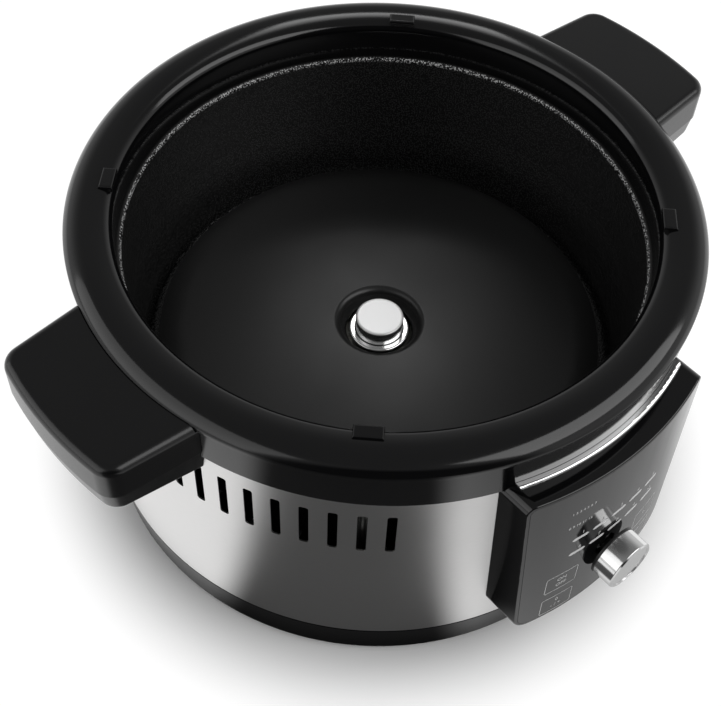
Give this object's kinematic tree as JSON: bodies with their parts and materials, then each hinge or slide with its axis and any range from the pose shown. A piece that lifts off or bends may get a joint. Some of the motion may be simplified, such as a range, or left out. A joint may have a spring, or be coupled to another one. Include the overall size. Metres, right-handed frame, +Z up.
{
  "type": "countertop multicooker",
  "caption": "Round countertop multicooker body with a steel shell, side handles, an open heating well with a sprung sensor, and a front panel with a push-and-turn knob.",
  "frame": {"origin": "on the surface that the feet rest on, under the middle of the round body", "axes": "+X towards the right handle seen from the front, +Y to the rear where the mains inlet is, +Z up; the control panel faces -Y"},
  "size_m": [0.404, 0.3515, 0.189],
  "materials": {
    "collar_black": "polished, deep gloss",
    "stop_black": "satin moulded",
    "handle_black": "fine moulded grain",
    "zinc_steel": "zinc plated",
    "brushed_steel": "brushed round the body",
    "base_black": "satin moulded",
    "foot_rubber": "matte",
    "well_enamel": "dark enamel with pale speckles",
    "plate_casting": "dark satin casting",
    "element_sheath": "dull sheath",
    "terminal_ceramic": "unglazed ceramic bead",
    "bright_metal": "bright plated",
    "cap_aluminium": "satin drawn",
    "stem_plastic": "natural moulded",
    "spring_steel": "drawn wire",
    "cutout_black": "moulded",
    "fuse_body": "drawn tube",
    "fascia_gloss": "glossy with pale print",
    "board_green": "solder mask",
    "guide_white": "moulded white",
    "pad_metal": "contact metal",
    "knob_metal": "turned and polished",
    "relay_blue": "moulded case",
    "core_dark": "varnished winding and core",
    "capacitor_yellow": "moulded case",
    "pin_brass": "nickel plated"
  },
  "bodies": {
    "cooker_body": {"top_collar": "collar_black", "pot_stop_blocks": "stop_black", "left_handle_shell": "handle_black", "right_handle_shell": "handle_black", "left_handle_underside": "handle_black", "right_handle_underside": "handle_black", "handle_screws": "zinc_steel", "steel_housing": "brushed_steel", "base_tray": "base_black", "rubber_feet": "foot_rubber", "base_screws": "zinc_steel", "tie_rods": "zinc_steel", "inner_well": "well_enamel", "heating_plate": "plate_casting", "heating_element": "element_sheath", "element_terminals": "terminal_ceramic", "plate_legs": "zinc_steel", "plate_screws": "zinc_steel", "sensor_sleeve": "bright_metal", "sensor_spring": "spring_steel", "sensor_bracket": "zinc_steel", "bracket_rivets": "zinc_steel", "thermal_cutout": "cutout_black", "cutout_screws": "zinc_steel", "thermal_fuse": "fuse_body", "fuse_clip": "spring_steel", "panel_bezel": "collar_black", "panel_fascia": "fascia_gloss", "panel_trim_strip": "bright_metal", "bezel_screws": "zinc_steel", "control_board": "board_green", "control_board_screws": "zinc_steel", "light_guide": "guide_white", "touch_pads": "pad_metal", "encoder_body": "cutout_black", "power_board": "board_green", "board_relay": "relay_blue", "board_transformer": "core_dark", "board_capacitor": "capacitor_yellow", "board_screws": "zinc_steel", "inlet_surround": "base_black", "inlet_socket": "base_black", "inlet_pins": "pin_brass"},
    "sensor_plunger": {"sensor_cap": "cap_aluminium", "sensor_stem": "stem_plastic"},
    "encoder_push": {"encoder_plunger": "stem_plastic"},
    "knob": {"control_knob": "knob_metal", "knob_base_ring": "stop_black", "encoder_shaft": "bright_metal"}
  },
  "joints": [
    {"name": "sensor_press", "type": "slide", "parent": "cooker_body", "child": "sensor_plunger", "axis": [0, 0, -1], "range_m": [0, 0.003], "stiffness_N_per_m": 500, "springref_m": -0.004, "deforming": ["sensor_spring"]},
    {"name": "knob_push", "type": "slide", "parent": "cooker_body", "child": "encoder_push", "axis": [0, 1, 0], "range_m": [0, 0.0008], "stiffness_N_per_m": 2000, "springref_m": -0.001},
    {"name": "knob_spin", "type": "hinge", "parent": "encoder_push", "child": "knob", "pos_m": [0, -0.18, 0.0782], "axis": [0, -1, 0], "continuous": true}
  ]
}
